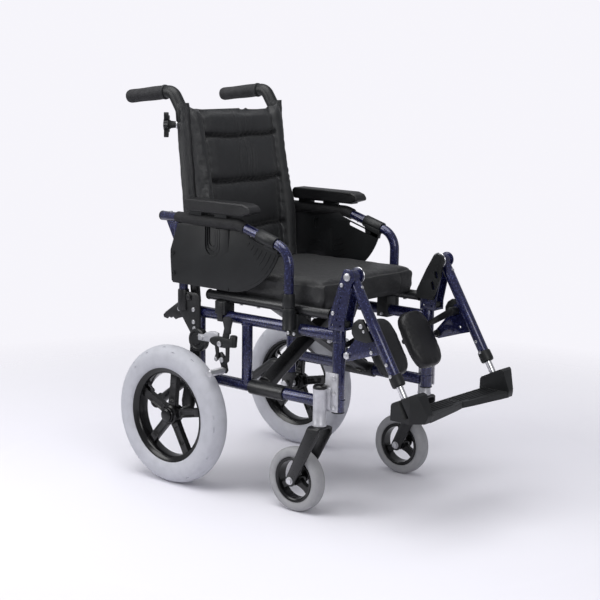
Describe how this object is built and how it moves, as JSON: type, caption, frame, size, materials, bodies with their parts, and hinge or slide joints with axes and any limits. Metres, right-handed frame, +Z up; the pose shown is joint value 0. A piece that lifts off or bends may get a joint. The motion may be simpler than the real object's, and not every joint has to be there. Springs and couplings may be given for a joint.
{
  "type": "folding child transit wheelchair",
  "caption": "Folding child's transit wheelchair with push handles, reclining padded back, lift-out armrests, swing-away elevating legrests and swivelling casters",
  "frame": {"origin": "centre of the bounding box at floor level, where all the wheels stand", "axes": "+X to the sitter's left, +Y to the rear, towards the push handles, +Z up"},
  "size_m": [0.4954, 0.8602, 0.8865],
  "materials": {
    "black_nylon": "black woven nylon over foam",
    "black_paint": "satin black powder coat",
    "black_plastic": "fine-grained black moulding",
    "black_rubber": "matt black moulded rubber",
    "black_vinyl": "black coated cloth over foam",
    "blue_paint": "metallic blue powder coat",
    "chrome": "bright plated steel",
    "grey_alloy": "bare satin cast alloy",
    "grey_caster": "non-marking mid grey tyre",
    "grey_tyre": "non-marking light grey tyre"
  },
  "bodies": {
    "left_side": {"left_caster_housing": "grey_alloy", "left_front_receiver": "black_plastic", "left_rear_axle": "grey_alloy", "left_rear_bracket": "black_paint", "left_side_frame": "blue_paint", "left_tipping_lever": "black_paint", "left_wheel_lock_body": "grey_alloy"},
    "right_side": {"right_caster_housing": "grey_alloy", "right_front_receiver": "black_plastic", "right_rear_axle": "grey_alloy", "right_rear_bracket": "black_paint", "right_side_frame": "blue_paint", "right_tipping_lever": "black_paint", "right_wheel_lock_body": "grey_alloy"},
    "left_brace_body": {"left_brace": "black_paint"},
    "right_brace_body": {"right_brace": "black_paint"},
    "seat_body": {"seat_cushion": "black_nylon"},
    "knob": {"back_knob": "black_plastic"},
    "left_armrest": {"left_armrest_frame": "blue_paint", "left_armrest_pad": "black_vinyl", "left_side_panel": "black_plastic"},
    "left_back": {"back_upholstery": "black_nylon", "left_back_cane": "black_paint", "left_push_grip": "black_rubber"},
    "left_calf": {"left_calf_bracket": "black_paint", "left_calf_pad": "black_vinyl"},
    "left_caster": {"left_caster_fork": "black_paint"},
    "left_caster_wheel": {"left_caster_hub": "black_plastic", "left_caster_tyre": "grey_caster"},
    "left_foot": {"left_footplate": "black_plastic"},
    "left_hanger": {"left_knee_guard": "black_plastic", "left_legrest_hanger": "blue_paint"},
    "left_leg": {"left_legrest_tube": "blue_paint"},
    "left_lock_arm": {"left_wheel_lock_arm": "black_paint"},
    "left_lock_lever": {"left_wheel_lock_lever": "black_plastic"},
    "left_rear_wheel": {"left_rear_rim": "black_plastic", "left_rear_tyre": "grey_tyre"},
    "left_release": {"left_legrest_lever": "black_paint"},
    "left_stem": {"left_footrest_stem": "chrome"},
    "right_armrest": {"right_armrest_frame": "blue_paint", "right_armrest_pad": "black_vinyl", "right_side_panel": "black_plastic"},
    "right_back": {"right_back_cane": "black_paint", "right_push_grip": "black_rubber"},
    "right_calf": {"right_calf_bracket": "black_paint", "right_calf_pad": "black_vinyl"},
    "right_caster": {"right_caster_fork": "black_paint"},
    "right_caster_wheel": {"right_caster_hub": "black_plastic", "right_caster_tyre": "grey_caster"},
    "right_foot": {"right_footplate": "black_plastic"},
    "right_hanger": {"right_knee_guard": "black_plastic", "right_legrest_hanger": "blue_paint"},
    "right_leg": {"right_legrest_tube": "blue_paint"},
    "right_lock_arm": {"right_wheel_lock_arm": "black_paint"},
    "right_lock_lever": {"right_wheel_lock_lever": "black_plastic"},
    "right_rear_wheel": {"right_rear_rim": "black_plastic", "right_rear_tyre": "grey_tyre"},
    "right_release": {"right_legrest_lever": "black_paint"},
    "right_stem": {"right_footrest_stem": "chrome"}
  },
  "joints": [
    {"name": "fold", "type": "hinge", "parent": "left_side", "child": "left_brace_body", "pos_m": [0.159, -0.00895, 0.24], "axis": [0, 1, 0], "range_deg": [0, 45], "deforming": ["seat_cushion", "back_upholstery"]},
    {"name": "brace_cross", "type": "hinge", "parent": "left_brace_body", "child": "right_brace_body", "pos_m": [0, -0.00895, 0.335], "axis": [0, 1, 0], "range_deg": [-90, 0]},
    {"name": "right_brace_foot", "type": "hinge", "parent": "right_brace_body", "child": "right_side", "pos_m": [-0.159, -0.00895, 0.24], "axis": [0, 1, 0], "range_deg": [0, 45]},
    {"name": "seat_lift", "type": "slide", "parent": "left_side", "child": "seat_body", "axis": [0, 0, 1], "range_m": [0, 0.1695]},
    {"name": "left_legrest_swing", "type": "hinge", "parent": "left_side", "child": "left_hanger", "pos_m": [0.159, -0.20195, 0.3875], "axis": [0, 0, 1], "range_deg": [0, 90]},
    {"name": "right_legrest_swing", "type": "hinge", "parent": "right_side", "child": "right_hanger", "pos_m": [-0.159, -0.20195, 0.3875], "axis": [0, 0, 1], "range_deg": [-90, 0]},
    {"name": "left_back_recline", "type": "hinge", "parent": "left_side", "child": "left_back", "pos_m": [0.1555, 0.21505, 0.42], "axis": [-1, 0, 0], "range_deg": [0, 30]},
    {"name": "right_back_recline", "type": "hinge", "parent": "right_side", "child": "right_back", "pos_m": [-0.1555, 0.21505, 0.42], "axis": [-1, 0, 0], "range_deg": [0, 30]},
    {"name": "knob_turn", "type": "hinge", "parent": "right_back", "child": "knob", "pos_m": [-0.1555, 0.25644, 0.801], "axis": [-0.6428, 0.766, 0], "continuous": true},
    {"name": "left_wheel_roll", "type": "hinge", "parent": "left_side", "child": "left_rear_wheel", "pos_m": [0.221, 0.22305, 0.1575], "axis": [1, 0, 0], "continuous": true},
    {"name": "left_caster_swivel", "type": "hinge", "parent": "left_side", "child": "left_caster", "pos_m": [0.189, -0.17695, 0.197], "axis": [0, 0, 1], "continuous": true},
    {"name": "left_caster_roll", "type": "hinge", "parent": "left_caster", "child": "left_caster_wheel", "pos_m": [0.189, -0.11795, 0.07], "axis": [1, 0, 0], "continuous": true},
    {"name": "left_armrest_lift", "type": "slide", "parent": "left_side", "child": "left_armrest", "axis": [0, 0, 1], "range_m": [0, 0.1]},
    {"name": "left_lock_lever_swing", "type": "hinge", "parent": "left_side", "child": "left_lock_lever", "pos_m": [0.1871, 0.09904, 0.33301], "axis": [1, 0, 0], "range_deg": [0, 40]},
    {"name": "left_lock_arm_swing", "type": "hinge", "parent": "left_side", "child": "left_lock_arm", "pos_m": [0.1871, 0.09554, 0.29701], "axis": [1, 0, 0], "range_deg": [0, 28]},
    {"name": "left_leg_elevation", "type": "hinge", "parent": "left_hanger", "child": "left_leg", "pos_m": [0.163, -0.23595, 0.517], "axis": [-1, 0, 0], "range_deg": [0, 59]},
    {"name": "left_release_press", "type": "hinge", "parent": "left_leg", "child": "left_release", "pos_m": [0.163, -0.27449, 0.40842], "axis": [1, 0, 0], "range_deg": [0, 20], "stiffness_Nm_per_rad": 0.2, "springref_deg": -8.59},
    {"name": "left_calf_tilt", "type": "hinge", "parent": "left_leg", "child": "left_calf", "pos_m": [0.163, -0.22853, 0.35075], "axis": [1, 0, 0], "range_deg": [-15, 15]},
    {"name": "left_stem_slide", "type": "slide", "parent": "left_leg", "child": "left_stem", "axis": [0, -0.512, -0.859], "range_m": [0, 0.06]},
    {"name": "left_foot_flip", "type": "hinge", "parent": "left_stem", "child": "left_foot", "pos_m": [0.163, -0.3911, 0.25674], "axis": [0, 0.859, -0.512], "range_deg": [0, 65]},
    {"name": "right_wheel_roll", "type": "hinge", "parent": "right_side", "child": "right_rear_wheel", "pos_m": [-0.221, 0.22305, 0.1575], "axis": [1, 0, 0], "continuous": true},
    {"name": "right_caster_swivel", "type": "hinge", "parent": "right_side", "child": "right_caster", "pos_m": [-0.189, -0.17695, 0.197], "axis": [0, 0, 1], "continuous": true},
    {"name": "right_caster_roll", "type": "hinge", "parent": "right_caster", "child": "right_caster_wheel", "pos_m": [-0.189, -0.11795, 0.07], "axis": [1, 0, 0], "continuous": true},
    {"name": "right_armrest_lift", "type": "slide", "parent": "right_side", "child": "right_armrest", "axis": [0, 0, 1], "range_m": [0, 0.1]},
    {"name": "right_lock_lever_swing", "type": "hinge", "parent": "right_side", "child": "right_lock_lever", "pos_m": [-0.1871, 0.09904, 0.33301], "axis": [1, 0, 0], "range_deg": [0, 40]},
    {"name": "right_lock_arm_swing", "type": "hinge", "parent": "right_side", "child": "right_lock_arm", "pos_m": [-0.1871, 0.09554, 0.29701], "axis": [1, 0, 0], "range_deg": [0, 28]},
    {"name": "right_leg_elevation", "type": "hinge", "parent": "right_hanger", "child": "right_leg", "pos_m": [-0.163, -0.23595, 0.517], "axis": [-1, 0, 0], "range_deg": [0, 59]},
    {"name": "right_release_press", "type": "hinge", "parent": "right_leg", "child": "right_release", "pos_m": [-0.163, -0.27449, 0.40842], "axis": [1, 0, 0], "range_deg": [0, 20], "stiffness_Nm_per_rad": 0.2, "springref_deg": -8.59},
    {"name": "right_calf_tilt", "type": "hinge", "parent": "right_leg", "child": "right_calf", "pos_m": [-0.163, -0.22853, 0.35075], "axis": [1, 0, 0], "range_deg": [-15, 15]},
    {"name": "right_stem_slide", "type": "slide", "parent": "right_leg", "child": "right_stem", "axis": [0, -0.512, -0.859], "range_m": [0, 0.06]},
    {"name": "right_foot_flip", "type": "hinge", "parent": "right_stem", "child": "right_foot", "pos_m": [-0.163, -0.3911, 0.25674], "axis": [0, -0.859, 0.512], "range_deg": [0, 65]}
  ],
  "couplings": [
    {"joint": "brace_cross", "follows": "fold", "ratio": -2},
    {"joint": "right_brace_foot", "follows": "fold", "ratio": 1},
    {"joint": "seat_lift", "follows": "fold", "m_per_rad": 0.2154},
    {"joint": "left_legrest_swing", "follows": "fold", "ratio": 2},
    {"joint": "right_legrest_swing", "follows": "fold", "ratio": -2},
    {"joint": "right_back_recline", "follows": "left_back_recline", "ratio": 1},
    {"joint": "left_lock_arm_swing", "follows": "left_lock_lever_swing", "ratio": 0.7},
    {"joint": "right_lock_arm_swing", "follows": "right_lock_lever_swing", "ratio": 0.7}
  ]
}
